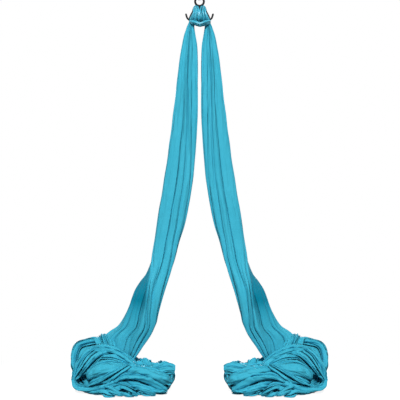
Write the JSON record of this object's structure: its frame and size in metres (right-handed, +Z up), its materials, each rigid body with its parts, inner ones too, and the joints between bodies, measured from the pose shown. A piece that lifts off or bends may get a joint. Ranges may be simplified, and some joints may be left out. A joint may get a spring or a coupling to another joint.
{
  "type": "aerial silks",
  "caption": "Aerial silks: one long stretch cloth hitched on a rescue figure-8 in a screw-gate carabiner, its two tails ending in heaps on the floor.",
  "frame": {"origin": "the hang point: top of the inside of the carabiner's bow", "axes": "+Z up; +X to the right seen from the front; the viewer is on the -Y side; the tails mirror each other across X = 0"},
  "size_m": [1.2906, 0.3453, 2.0494],
  "materials": {
    "dark_steel": "satin",
    "bright_steel": "satin",
    "black_anodised": "satin",
    "silk": "matte"
  },
  "bodies": {
    "rig": {"carabiner_body": "dark_steel", "silk_tail_left": "silk", "silk_tail_right": "silk", "silk_heap_left": "silk", "silk_heap_right": "silk"},
    "gate": {"carabiner_gate": "dark_steel", "gate_hinge_rivet": "bright_steel", "gate_latch_pin": "bright_steel", "gate_spring": "bright_steel", "sleeve_stop_ring": "dark_steel"},
    "plunger": {"gate_plunger": "bright_steel"},
    "sleeve": {"locking_sleeve": "dark_steel"},
    "eight": {"rescue_eight": "black_anodised", "silk_hitch": "silk"}
  },
  "joints": [
    {"name": "gate_open", "type": "hinge", "parent": "rig", "child": "gate", "pos_m": [0, -0.024, -0.0625], "axis": [-1, 0, 0], "range_deg": [0, 30], "stiffness_Nm_per_rad": 0.15, "springref_deg": -17.19},
    {"name": "plunger_slide", "type": "slide", "parent": "gate", "child": "plunger", "axis": [0, 0, 1], "range_m": [0, 0.0025], "deforming": ["gate_spring"]},
    {"name": "sleeve_slide", "type": "slide", "parent": "gate", "child": "sleeve", "axis": [0, 0, 1], "range_m": [0, 0.005]},
    {"name": "eight_swing", "type": "hinge", "parent": "rig", "child": "eight", "pos_m": [0, 0, -0.0808], "axis": [1, 0, 0], "range_deg": [-8, 8], "stiffness_Nm_per_rad": 1}
  ],
  "couplings": [
    {"joint": "plunger_slide", "follows": "gate_open", "m_per_rad": 0.0046}
  ]
}
